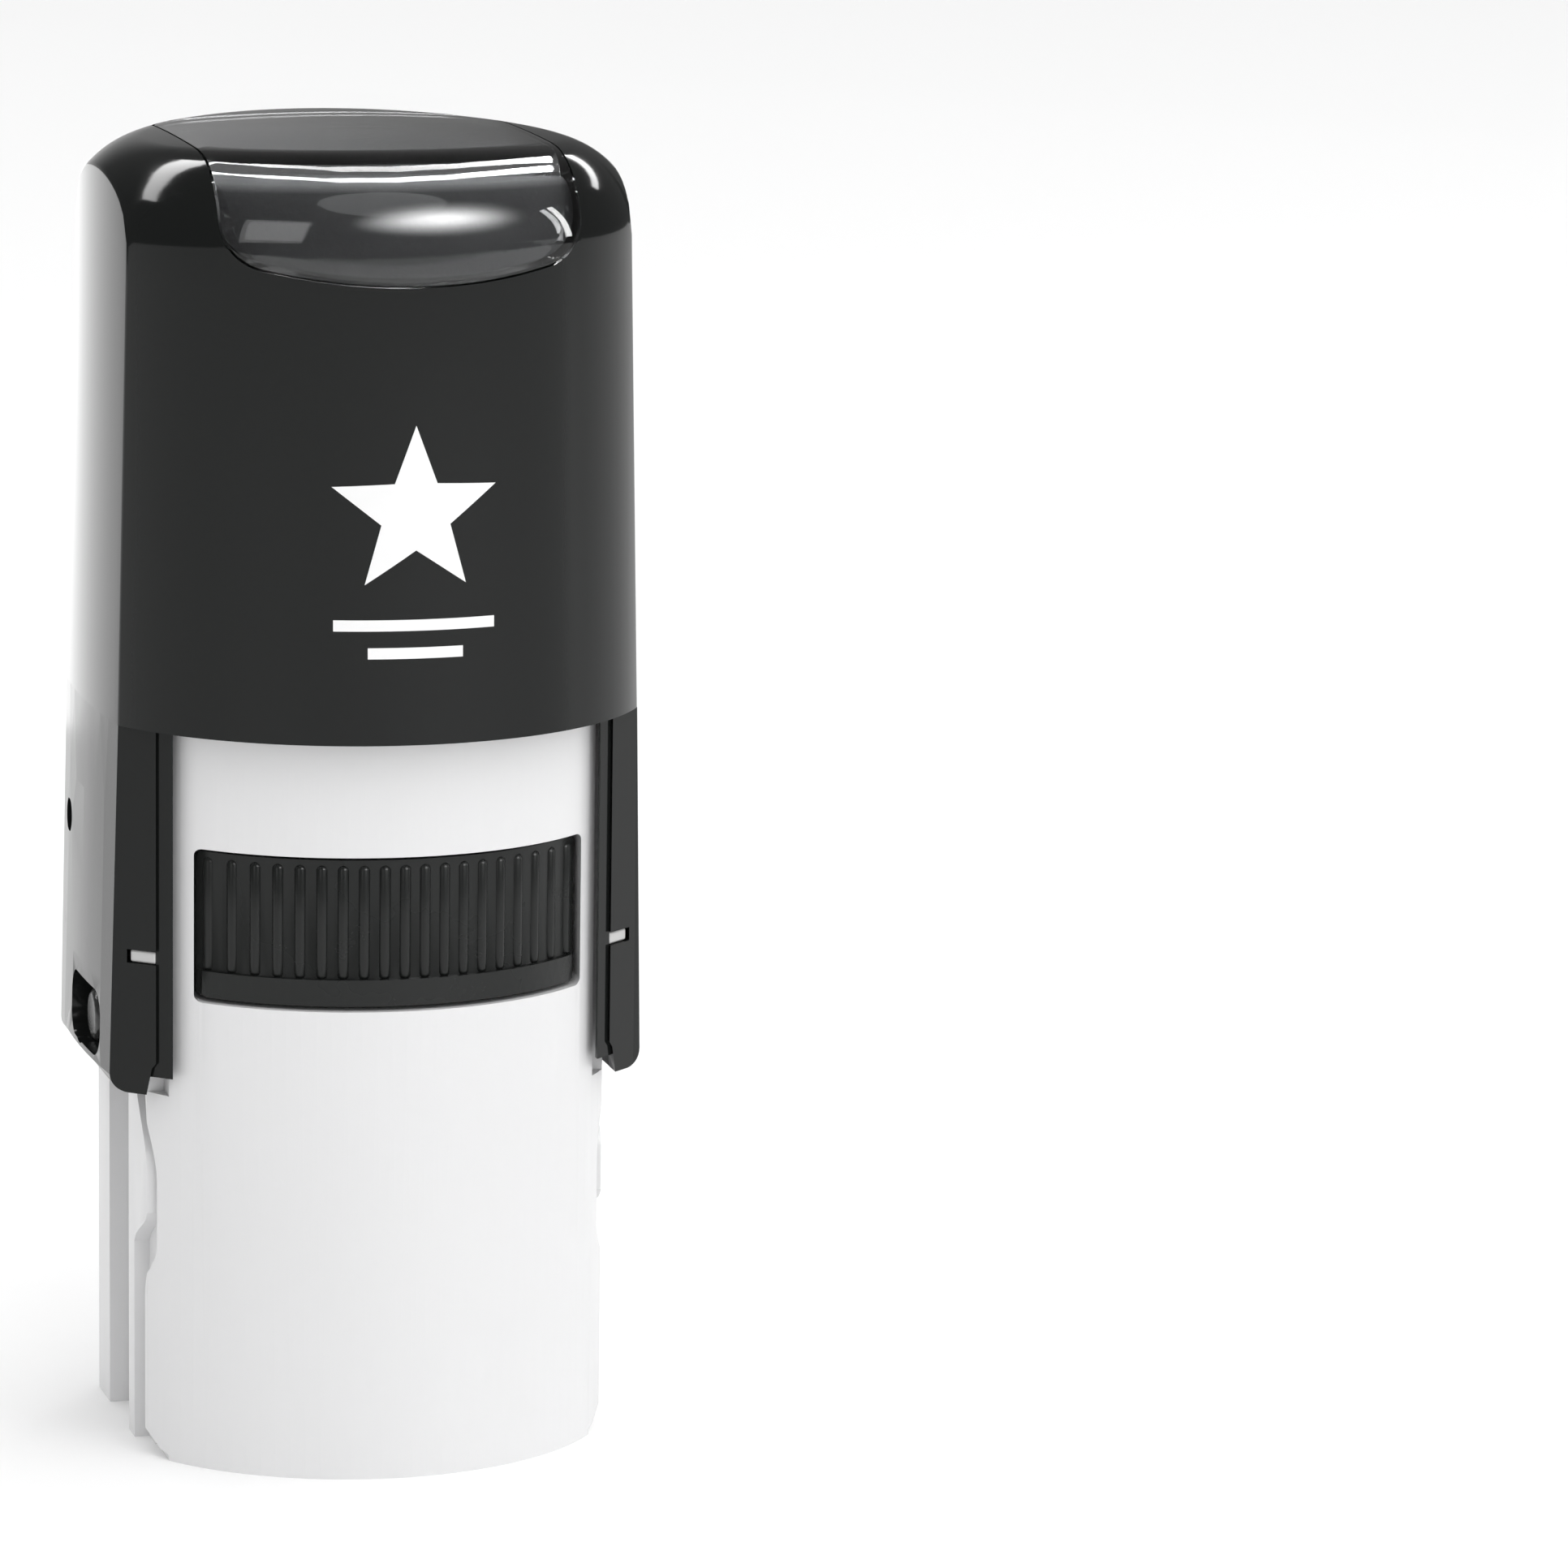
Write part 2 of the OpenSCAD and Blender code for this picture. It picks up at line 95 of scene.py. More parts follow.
# Moulded plastic: faint smudges and rubbed spots in the gloss, fine grain in the surface
def plastic(name, color, roughLow, roughHigh, grain=1.0, tint=0.08, specular=0.5, sheen=0.0, wear=1.0):
    mat, tree, shader = newMaterial(name)
    coord = tree.nodes.new("ShaderNodeTexCoord")
    smudge = addNoise(tree, coord, plasticLook["smudgeScale"], 4.0, 0.6)
    rough = addRange(tree, smudge.outputs["Fac"], roughLow, roughHigh)
    spots = addNoise(tree, coord, plasticLook["scuffScale"], 6.0, 0.7)
    rubbed = addRange(tree, spots.outputs["Fac"], 0.0, plasticLook["scuffRough"] * wear, 0.62, 0.72)
    total = addSum(tree, rough.outputs["Result"], rubbed.outputs["Result"])
    tree.links.new(total.outputs["Value"], shader.inputs["Roughness"])
    ramp = tree.nodes.new("ShaderNodeMix")
    ramp.data_type = "RGBA"
    ramp.inputs["A"].default_value = (*[c * (1 - tint) for c in color], 1)
    ramp.inputs["B"].default_value = (*[min(1, c * (1 + tint)) for c in color], 1)
    tree.links.new(smudge.outputs["Fac"], ramp.inputs["Factor"])
    tree.links.new(ramp.outputs["Result"], shader.inputs["Base Color"])
    grainNoise = addNoise(tree, coord, plasticLook["grainScale"], 2.0)
    bump = tree.nodes.new("ShaderNodeBump")
    bump.inputs["Strength"].default_value = 1.0
    bump.inputs["Distance"].default_value = plasticLook["grainHeight"] * grain
    tree.links.new(grainNoise.outputs["Fac"], bump.inputs["Height"])
    tree.links.new(bump.outputs["Normal"], shader.inputs["Normal"])
    shader.inputs["Specular IOR Level"].default_value = specular
    shader.inputs["Sheen Weight"].default_value = sheen
    return mat


def steel(name, color, rough):
    mat = plastic(name, color, rough * 0.8, rough * 1.3, 0.6, 0.04)
    mat.node_tree.nodes["Principled BSDF"].inputs["Metallic"].default_value = 1.0
    return mat


capBlack = plastic("capBlack", (0.0085, 0.0093, 0.0090), 0.07, 0.10, 0.15, 0.08, 0.21, wear=0.4)
legBlack = plastic("legBlack", (0.0085, 0.0093, 0.0090), 0.11, 0.16, 0.3, 0.08, 0.21, wear=0.6)
baseWhite = plastic("baseWhite", (0.69, 0.69, 0.695), 0.28, 0.36, 0.5, 0.012, 0.5, wear=0.6)
# Grey-white of the leg slot pieces: the base's white, darkened as painted shade inside the slots
slotShadeWhite = plastic("slotShadeWhite", (0.50, 0.50, 0.495), 0.30, 0.40, 0.5, 0.05, 0.5)
printWhite = plastic("printWhite", (0.82, 0.82, 0.82), 0.35, 0.45, 0.5, 0.02, 0.4)
cartridgeBlack = plastic("cartridgeBlack", (0.0105, 0.0115, 0.011), 0.24, 0.32, 0.8, 0.1, 0.27)
yokeBlack = plastic("yokeBlack", (0.035, 0.035, 0.036), 0.38, 0.5, 1.2)
axleBlack = plastic("axleBlack", (0.03, 0.031, 0.03), 0.24, 0.32, 0.6)
platePlastic = plastic("platePlastic", (0.62, 0.62, 0.60), 0.4, 0.5, 1.0, 0.03)
padFelt = plastic("padFelt", (0.012, 0.012, 0.02), 0.85, 0.95, 14.0, 0.3, 0.3, 0.4)
cushionFoam = plastic("cushionFoam", (0.12, 0.12, 0.125), 0.8, 0.9, 10.0, 0.2, 0.3)
plateRubber = plastic("plateRubber", (0.16, 0.035, 0.03), 0.5, 0.62, 3.0, 0.12)
springSteel = steel("springSteel", (0.56, 0.56, 0.57), 0.25)
pinSteel = steel("pinSteel", (0.6, 0.6, 0.6), 0.22)

clearPlastic = plastic("clearPlastic", (0.96, 0.97, 0.98), 0.02, 0.05, 0.1, 0.01, wear=0.3)
clearShader = clearPlastic.node_tree.nodes["Principled BSDF"]
clearShader.inputs["Transmission Weight"].default_value = 1.0
clearShader.inputs["IOR"].default_value = 1.49

# Index card painted in two tones as painted light and shade: lighter on the crown as if lit from above,
# darker on the front
cardPaintedLight = {
    "top": (0.20, 0.20, 0.202),      # the part on the crown, painted lighter: painted light from the lamp and sky above
    "front": (0.026, 0.0265, 0.027),  # the part behind the front edge, darker: painted shade
    "paintedLightOut": 0.0132,               # distance from the middle where the painted light turns into the painted shade
    "paintedLightIn": 0.0126,
}

# The card's colour: the darker front tone, blended into painted light on the crown
cardWithPaintedLight = plastic("cardWithPaintedLight", cardPaintedLight["front"], 0.6, 0.7, 4.0, 0.1, 0.3)
cardTree = cardWithPaintedLight.node_tree
cardShader = cardTree.nodes["Principled BSDF"]
cardCoord = cardTree.nodes.new("ShaderNodeTexCoord")
cardAxes = cardTree.nodes.new("ShaderNodeSeparateXYZ")
cardTree.links.new(cardCoord.outputs["Object"], cardAxes.inputs["Vector"])
cardFlat = cardTree.nodes.new("ShaderNodeCombineXYZ")
cardTree.links.new(cardAxes.outputs["X"], cardFlat.inputs["X"])
cardTree.links.new(cardAxes.outputs["Y"], cardFlat.inputs["Y"])
cardReach = cardTree.nodes.new("ShaderNodeVectorMath")
cardReach.operation = "LENGTH"
cardTree.links.new(cardFlat.outputs["Vector"], cardReach.inputs[0])
# Mask of the painted light on the crown, by distance from the middle
paintedTopLightMask = addRange(cardTree, cardReach.outputs["Value"], 1.0, 0.0, cardPaintedLight["paintedLightIn"], cardPaintedLight["paintedLightOut"])
paintedTopLightMix = cardTree.nodes.new("ShaderNodeMix")
paintedTopLightMix.data_type = "RGBA"
cardTree.links.new(paintedTopLightMask.outputs["Result"], paintedTopLightMix.inputs["Factor"])
frontColor = cardShader.inputs["Base Color"].links[0].from_socket
cardTree.links.new(frontColor, paintedTopLightMix.inputs["A"])
paintedTopLightMix.inputs["B"].default_value = (*cardPaintedLight["top"], 1)
cardTree.links.new(paintedTopLightMix.outputs["Result"], cardShader.inputs["Base Color"])
print("stage: materials")


def finishMesh(obj, mat, smooth=32):
    obj.data.materials.clear()
    obj.data.materials.append(mat)
    for p in obj.data.polygons:
        p.material_index = 0
    obj.data.shade_smooth()
    obj.data.set_sharp_from_angle(angle=math.radians(smooth))
    return obj


def addBevel(obj, width, segments=2, limit=32, weighted=False):
    mod = obj.modifiers.new("edge", "BEVEL")
    mod.width = width * mm
    mod.segments = segments
    mod.limit_method = "WEIGHT" if weighted else "ANGLE"
    mod.angle_limit = math.radians(limit)
    mod.harden_normals = not weighted
    mod.use_clamp_overlap = True
    return mod


# Shading that follows the larger faces, so narrow edge strips leave no streaks beside them
def evenShading(obj):
    mod = obj.modifiers.new("shade", "WEIGHTED_NORMAL")
    mod.mode = "FACE_AREA"
    mod.weight = 90
    mod.keep_sharp = True
    return mod


def linkMesh(name, bm):
    mesh = bpy.data.meshes.new(name)
    bmesh.ops.recalc_face_normals(bm, faces=bm.faces)
    bm.to_mesh(mesh)
    bm.free()
    obj = bpy.data.objects.new(name, mesh)
    bpy.context.scene.collection.objects.link(obj)
    return obj


# A cleaned copy of a designed piece, ready for soft edges
def cadCopy(node, name):
    bm = bmesh.new()
    bm.from_mesh(frame["nodes"][node].data)
    bmesh.ops.remove_doubles(bm, verts=bm.verts, dist=0.000002)
    bmesh.ops.dissolve_limit(bm, angle_limit=math.radians(0.4), verts=bm.verts, edges=bm.edges)
    return linkMesh(name, bm)


def baked(obj):
    graph = bpy.context.evaluated_depsgraph_get()
    mesh = bpy.data.meshes.new_from_object(obj.evaluated_get(graph))
    obj.modifiers.clear()
    obj.data = mesh
    return obj


def cut(obj, tool, how="DIFFERENCE", keepTool=False):
    mod = obj.modifiers.new("cut", "BOOLEAN")
    mod.operation = how
    mod.solver = "EXACT"
    mod.object = tool
    baked(obj)
    if not keepTool:
        bpy.data.objects.remove(tool)
    return obj


# Point (a, b) of a flat outline, c along the axis that the outline is square to
def axisPoint(a, b, c, axis):
    if axis == "x":
        return Vector((c, a, b))
    if axis == "y":
        return Vector((a, c, b))
    return Vector((a, b, c))


# A closed prism from a flat outline, along one axis
def prism(name, outline, axis, low, high):
    bm = bmesh.new()
    ends = [[bm.verts.new(axisPoint(a, b, c, axis) * mm) for a, b in outline] for c in (low, high)]
    bm.faces.new(ends[0])
    bm.faces.new(ends[1])
    n = len(outline)
    for i in range(n):
        bm.faces.new((ends[0][i], ends[0][(i + 1) % n], ends[1][(i + 1) % n], ends[1][i]))
    return linkMesh(name, bm)


def arc(cx, cy, r, a0, a1, n):
    return [(cx + r * math.cos(math.radians(a0 + (a1 - a0) * i / n)),
             cy + r * math.sin(math.radians(a0 + (a1 - a0) * i / n))) for i in range(n + 1)]


# A piece that rides with a body and stands for CAD nodes, which are hidden
def settle(obj, body, slotName, *nodes):
    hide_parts(*nodes)
    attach(obj, body)
    return obj


# A node tree for geometry with named inputs; links take (node, socket) pairs
def newTree(name, inputs):
    tree = bpy.data.node_groups.new(name, "GeometryNodeTree")
    tree.interface.new_socket(name="Geometry", in_out="OUTPUT", socket_type="NodeSocketGeometry")
    for label, kind, value in inputs:
        sock = tree.interface.new_socket(name=label, in_out="INPUT", socket_type=kind)
        if value is not None:
            sock.default_value = value
    return tree, tree.nodes.new("NodeGroupInput"), tree.nodes.new("NodeGroupOutput")


def mathNode(tree, operation, *sources):
    node = tree.nodes.new("ShaderNodeMath")
    node.operation = operation
    for i, source in enumerate(sources):
        if isinstance(source, (int, float)):
            node.inputs[i].default_value = source
        else:
            tree.links.new(source, node.inputs[i])
    return node.outputs["Value"]


# Runs a node tree on an empty mesh and keeps the result as a plain mesh
def grown(name, tree, values):
    obj = bpy.data.objects.new(name, bpy.data.meshes.new(name))
    bpy.context.scene.collection.objects.link(obj)
    mod = obj.modifiers.new("grow", "NODES")
    mod.node_group = tree
    for item in tree.interface.items_tree:
        if item.item_type == "SOCKET" and item.in_out == "INPUT" and item.name in values:
            mod[item.identifier] = values[item.name]
    return baked(obj)


cap = {
    "rimZ": 41.1,
    "topZ": 72.6,
    "crownMidY": 0.0,      # where the crown is highest, front to back
    "crownSide": 110.0,
    "crownFront": 300.0,
    "halfWidth": 14.5,     # at the rim, at the side's corners
    "sideY": 7.66,         # where those corners are, front and back
    "bow": 0.35,           # how far each side bows out between them
    "roundR": 16.4,        # at the rim
    "draft": 0.0215,
    "frontEdge": 4.45,     # rounding of the curved top edges
    "crease": 0.14,        # soft edge round each side face
    "wall": 1.35,
    "innerX": 13.15,
    "innerTop": 64.0,
    "bendZ": 69.0,         # about where the wall turns into the rounded edge
    "sideParts": 18,
    "roundParts": 66,
    "wallRows": 12,
    "edgeRows": 12,
    "crownRows": 14,
}


# Point k of the cap's outline at height z
def capPoint(k, z, inset):
    lean = cap["draft"] * (z - cap["rimZ"]) + inset
    r = cap["roundR"] - lean
    bowR = (cap["sideY"] ** 2 + cap["bow"] ** 2) / (2 * cap["bow"])
    away = bowR - cap["halfWidth"] - cap["bow"]
    flatR = bowR - lean
    x = (flatR ** 2 - r ** 2 - away ** 2) / (2 * away)
    y = math.sqrt(r * r - x * x)
    n, m = cap["sideParts"], cap["roundParts"]
    sign = 1 if k < n + m else -1
    i = k % (n + m)
    if i < n:
        a = math.asin(y / flatR) * (2 * i / n - 1)
        return sign * (flatR * math.cos(a) - away), sign * flatR * math.sin(a)
    turn = math.atan2(y, x)
    a = turn + (math.pi - 2 * turn) * (i - n) / m
    return sign * r * math.cos(a), sign * r * math.sin(a)


def capCrown(x, y, inset):
    a = cap["crownSide"] - math.sqrt(cap["crownSide"] ** 2 - x * x)
    b = cap["crownFront"] - math.sqrt(cap["crownFront"] ** 2 - (y - cap["crownMidY"]) ** 2)
    return cap["topZ"] - a - b - inset


# One upright row of points of the cap's form: up the wall, over the edge, to the middle of the crown
def capColumn(k, low, inset):
    e = max(0.5, cap["frontEdge"] - inset)
    rc = cap["roundR"] - cap["draft"] * (cap["bendZ"] - cap["rimZ"]) - inset - e
    top = cap["bendZ"]
    for _ in range(12):
        x, y = capPoint(k, top, inset)
        s = min(1.0, max(0.0, (math.hypot(x, y) - rc) / e))
        top = capCrown(x, y, inset) - e + e * math.sqrt(1 - s * s)
    rows = []
    for i in range(cap["wallRows"] + 1):
        z = low + (top - low) * i / cap["wallRows"]
        rows.append((*capPoint(k, z, inset), z))
    reach = math.hypot(x, y)
    tilt = math.asin(s)
    for i in range(1, cap["edgeRows"] + 1):
        t = tilt * (1 - i / cap["edgeRows"])
        q = (rc + e * math.sin(t)) / reach
        rows.append((x * q, y * q, capCrown(x * q, y * q, inset) - e + e * math.cos(t)))
    for i in range(1, cap["crownRows"]):
        q = rc / reach * (1 - i / cap["crownRows"])
        rows.append((x * q, y * q, capCrown(x * q, y * q, inset)))
    return rows


# Solid with the cap's outside form, flat underneath or open to an inner wall
def capForm(name, inset, low, hollow=False):
    bm = bmesh.new()
    weight = bm.edges.layers.float.new("bevel_weight_edge")
    n, m = cap["sideParts"], cap["roundParts"]
    count = 2 * (n + m)
    columns = [[bm.verts.new(Vector(p) * mm) for p in capColumn(k, low, inset)] for k in range(count)]
    tip = bm.verts.new((0, 0, capCrown(0, 0, inset) * mm))
    for i in range(count):
        one, two = columns[i], columns[(i + 1) % count]
        for j in range(len(one) - 1):
            bm.faces.new((one[j], two[j], two[j + 1], one[j + 1]))
        bm.faces.new((one[-1], two[-1], tip))
    if hollow:
        inner = []
        for k in range(count):
            x, y = capPoint(k, low, 0)
            r = math.hypot(x, y)
            q = min(cap["roundR"] - cap["wall"], cap["innerX"] * r / max(1e-6, abs(x))) / r
            inner.append([bm.verts.new((x * q * mm, y * q * mm, z * mm)) for z in (low, cap["innerTop"])])
        for i in range(count):
            k = (i + 1) % count
            bm.faces.new((columns[i][0], columns[k][0], inner[k][0], inner[i][0]))
            bm.faces.new((inner[i][0], inner[k][0], inner[k][1], inner[i][1]))
        bm.faces.new([pair[1] for pair in inner])
    else:
        bm.faces.new([c[0] for c in columns])
    rows = cap["wallRows"]
    for start in (0, n + m):
        for corner in (start, (start + n) % count):
            for j in range(rows):
                bm.edges.get((columns[corner][j], columns[corner][j + 1]))[weight] = 1.0
        for i in range(start, start + n):
            bm.edges.get((columns[i][rows], columns[(i + 1) % count][rows]))[weight] = 1.0
    return linkMesh(name, bm)


window = {
    "halfWidth": 9.9,
    "lowZ": 65.6,
    "arch": 40.0,       # radius of the arched lower edge
    "corner": 2.5,
    "back": 8.6,
    "thick": 1.2,
    "gap": 0.12,
    "edge": 0.2,        # rounding of the clear piece's edges
    "cardGap": 0.3,     # between the clear piece and the card
    "cardThick": 0.19,
    "pocketSpare": 0.5,
    "cardShrink": 0.4,
    "frontY": -30,      # planes well outside the cap, where the block may end
    "aboveZ": 90,
}


lowCut = 50    # height in millimetres, below the window, where its forms may start


# The window's outline as a solid block, made smaller by shrink
def windowBlock(shrink):
    w, low = window["halfWidth"] - shrink, window["lowZ"] + shrink
    big, c = window["arch"], window["corner"]
    zc = low + big - math.sqrt((big - c) ** 2 - (w - c) ** 2)
    turn = math.degrees(math.asin((w - c) / (big - c)))
    face = arc(w - c, zc, c, 0, -90 + turn, 10) + arc(0, low + big, big, -90 + turn, -90 - turn, 24)[1:-1]
    face += arc(-w + c, zc, c, -90 - turn, -180, 10) + [(-w, window["aboveZ"]), (w, window["aboveZ"])]
    back = window["back"] - shrink
    block = prism("windowBlock", face, "y", window["frontY"], back)
    plan = [(-w, window["frontY"] - 10), (w, window["frontY"] - 10)]
    plan += arc(w - c, back - c, c, 0, 90, 8) + arc(-w + c, back - c, c, 90, 180, 8)
    return cut(block, prism("windowPlan", plan, "z", lowCut, window["aboveZ"] + 5), "INTERSECT")


capShell = capForm("capShell", 0, cap["rimZ"], hollow=True)
addBevel(capShell, cap["crease"], 3, weighted=True)
baked(capShell)
pocket = cut(windowBlock(0), capForm("pocketFloor", window["thick"] + window["pocketSpare"], lowCut - 20))
cut(capShell, pocket)
finishMesh(capShell, capBlack, 40)
evenShading(capShell)
baked(capShell)
settle(capShell, "cap", "cap_black", "cap_shell")

indexWindow = capForm("indexWindow", 0, lowCut)
cut(indexWindow, windowBlock(window["gap"]), "INTERSECT")
cut(indexWindow, capForm("windowInside", window["thick"], lowCut - 10))
finishMesh(indexWindow, clearPlastic, 34)
addBevel(indexWindow, window["edge"], 3, 50)
baked(indexWindow)
settle(indexWindow, "window", "clear_plastic", "index_window")

cardTop = window["thick"] + window["cardGap"]
indexCard = capForm("indexCard", cardTop, lowCut)
cut(indexCard, windowBlock(window["cardShrink"]), "INTERSECT")
cut(indexCard, capForm("cardInside", cardTop + window["cardThick"], lowCut - 10))
finishMesh(indexCard, cardWithPaintedLight, 34)
settle(indexCard, "cap", "card", "index_card")

capPrint = {
    "starZ": 53.6,
    "starR": 4.7,
    "starInner": 0.42,    # share of the outer radius
    "bars": [(4.4, 47.3, 47.9), (2.6, 45.8, 46.4)],   # half width, lower and upper edge
    "stripe": 0.7,        # widest facet of the print
    "thick": 0.03,
}

# A plain star over two bars, printed on the front of the cap
bm = bmesh.new()
star = []
for i in range(10):
    r = capPrint["starR"] * (1 if i % 2 == 0 else capPrint["starInner"])
    a = math.radians(90 + 36 * i)
    star.append((r * math.cos(a), capPrint["starZ"] + r * math.sin(a)))
shapes = [star] + [[(-w, a), (w, a), (w, b), (-w, b)] for w, a, b in capPrint["bars"]]
for shape in shapes:
    bm.faces.new([bm.verts.new((x, 0, z)) for x, z in shape])
bm.normal_update()
bmesh.ops.triangulate(bm, faces=bm.faces)
steps = int(capPrint["starR"] / capPrint["stripe"])
for i in range(-steps, steps + 1):
    everything = bm.verts[:] + bm.edges[:] + bm.faces[:]
    bmesh.ops.bisect_plane(bm, geom=everything, plane_co=(i * capPrint["stripe"], 0, 0), plane_no=(1, 0, 0))
for v in bm.verts:
    r = cap["roundR"] - cap["draft"] * (v.co.z - cap["rimZ"]) + 0.5 * capPrint["thick"]
    v.co = Vector((v.co.x, -math.sqrt(r * r - v.co.x ** 2), v.co.z)) * mm
printed = linkMesh("capPrint", bm)
thicken = printed.modifiers.new("ink", "SOLIDIFY")
thicken.thickness = capPrint["thick"] * mm
thicken.offset = 0
baked(printed)
finishMesh(printed, printWhite, 40)
settle(printed, "cap", "base_white", "cap_shell")
print("stage: cap")

# Width and segments of the soft edges, and the sharpest angle that still counts as round
softEdges = {
    "stirrup": (legBlack, 0.13, 3, 20),
    "base_shell": (baseWhite, 0.3, 3, 32),
    "ink_cartridge": (cartridgeBlack, 0.08, 2, 32),
    "ink_pad": (padFelt, 0.3, 2, 32),
    "rotor_yoke": (yokeBlack, 0.15, 2, 32),
    "die_axle": (axleBlack, 0.45, 4, 32),
    "guide_pins": (pinSteel, 0.1, 2, 32),
    "die_plate": (platePlastic, 0.12, 2, 32),
    "die_cushion": (cushionFoam, 0.08, 2, 32),
    "text_plate": (plateRubber, 0.05, 1, 32),
}

cartridge = {
    "wallR": 14.1,       # front wall, where the ribs stand
    "lipTop": 27.85,
    "ribTop": 34.15,
    "pitch": 1.1,
    "count": 19,
    "ribR": 0.36,
    "sunk": 0.20,
    "inLip": 0.1,        # how far the ribs reach down into the lip
    "shave": 0.04,       # how far inside the wall's face the plain ribs are cut away
    "ballParts": (12, 7),
}


# Takes the plain ribs off the designed cartridge, so finer ones can stand there
def shaveRibs(piece):
    seam = cartridge["lipTop"] + 0.01
    lower = cadCopy("ink_cartridge", "cartridgeLow")
    around = [(-20, -20), (20, -20), (20, 20), (-20, 20)]
    cut(lower, prism("keepLow", around, "z", 10, seam), "INTERSECT")
    outline = arc(0, 0, cartridge["wallR"] - cartridge["shave"], 0, 360, 180)[:-1]
    cut(piece, prism("shaver", outline, "z", seam, 50), "INTERSECT")
    cut(piece, lower, "UNION")


slots = {s["node"]: s["material_slot"] for s in frame["record"]["subparts"]}
bodyOf = {n: b for b, ns in frame["record"]["behaviour"]["bodies"].items() for n in ns}
for node, (mat, width, segments, limit) in softEdges.items():
    piece = cadCopy(node, node + "_look")
    if node == "ink_cartridge":
        shaveRibs(piece)
    finishMesh(piece, mat, limit)
    addBevel(piece, width, segments, limit)
    baked(piece)
    settle(piece, bodyOf[node], slots[node], node)
print("stage: copies")

# Upright grip ribs with domed tops, spaced evenly from side to side along the curved wall
tree, given, result = newTree("gripRibs", [
    ("Count", "NodeSocketInt", 3),
    ("Pitch", "NodeSocketFloat", 0.001),
    ("Arc Radius", "NodeSocketFloat", 0.01),
    ("Rib Radius", "NodeSocketFloat", 0.0003),
    ("Foot", "NodeSocketFloat", 0.0),
    ("Length", "NodeSocketFloat", 0.005),
    ("Material", "NodeSocketMaterial", None)])
link = tree.links.new
points = tree.nodes.new("GeometryNodePoints")
index = tree.nodes.new("GeometryNodeInputIndex")
half = mathNode(tree, "MULTIPLY", mathNode(tree, "SUBTRACT", given.outputs["Count"], 1.0), 0.5)
fromMiddle = mathNode(tree, "SUBTRACT", index.outputs["Index"], half)
across = mathNode(tree, "MULTIPLY", fromMiddle, given.outputs["Pitch"])
radiusSq = mathNode(tree, "MULTIPLY", given.outputs["Arc Radius"], given.outputs["Arc Radius"])
acrossSq = mathNode(tree, "MULTIPLY", across, across)
depth = mathNode(tree, "SQRT", mathNode(tree, "SUBTRACT", radiusSq, acrossSq))
spot = tree.nodes.new("ShaderNodeCombineXYZ")
link(across, spot.inputs["X"])
link(mathNode(tree, "MULTIPLY", depth, -1.0), spot.inputs["Y"])
link(mathNode(tree, "ADD", given.outputs["Foot"], given.outputs["Rib Radius"]), spot.inputs["Z"])
link(given.outputs["Count"], points.inputs["Count"])
link(spot.outputs["Vector"], points.inputs["Position"])
ball = tree.nodes.new("GeometryNodeMeshUVSphere")
ball.inputs["Segments"].default_value, ball.inputs["Rings"].default_value = cartridge["ballParts"]
link(given.outputs["Rib Radius"], ball.inputs["Radius"])
where = tree.nodes.new("GeometryNodeInputPosition")
axes = tree.nodes.new("ShaderNodeSeparateXYZ")
link(where.outputs["Position"], axes.inputs["Vector"])
isHigh = mathNode(tree, "GREATER_THAN", axes.outputs["Z"], 0.0)
bothEnds = mathNode(tree, "MULTIPLY", given.outputs["Rib Radius"], 2.0)
stretch = mathNode(tree, "SUBTRACT", given.outputs["Length"], bothEnds)
lift = tree.nodes.new("ShaderNodeCombineXYZ")
link(mathNode(tree, "MULTIPLY", isHigh, stretch), lift.inputs["Z"])
stretched = tree.nodes.new("GeometryNodeSetPosition")
link(ball.outputs["Mesh"], stretched.inputs["Geometry"])
link(lift.outputs["Vector"], stretched.inputs["Offset"])
placed = tree.nodes.new("GeometryNodeInstanceOnPoints")
link(points.outputs[0], placed.inputs["Points"])
link(stretched.outputs["Geometry"], placed.inputs["Instance"])
real = tree.nodes.new("GeometryNodeRealizeInstances")
link(placed.outputs["Instances"], real.inputs["Geometry"])
coat = tree.nodes.new("GeometryNodeSetMaterial")
link(real.outputs["Geometry"], coat.inputs["Geometry"])
link(given.outputs["Material"], coat.inputs["Material"])
link(coat.outputs["Geometry"], result.inputs["Geometry"])
gripRibs = grown("gripRibs", tree, {
    "Count": cartridge["count"], "Pitch": cartridge["pitch"] * mm,
    "Arc Radius": (cartridge["wallR"] - cartridge["sunk"]) * mm, "Rib Radius": cartridge["ribR"] * mm,
    "Foot": (cartridge["lipTop"] - cartridge["inLip"]) * mm,
    "Length": (cartridge["ribTop"] - cartridge["lipTop"] + cartridge["inLip"]) * mm,
    "Material": cartridgeBlack})
finishMesh(gripRibs, cartridgeBlack, 60)
settle(gripRibs, bodyOf["ink_cartridge"], slots["ink_cartridge"], "ink_cartridge")
print("stage: ribs")

spring = {
    "radius": 4.5,
    "wire": 1.1,
    "turns": 8.0,
    "seatZ": 36.5,       # faces that the spring's ends lie on
    "capZ": 64.0,
    "lift": 0.57,        # from those faces to the middle of the wire
    "closed": 0.06,      # share of the wire that lies flat at each end
    "stepsPerTurn": 28,
    "wireSides": 10,
}

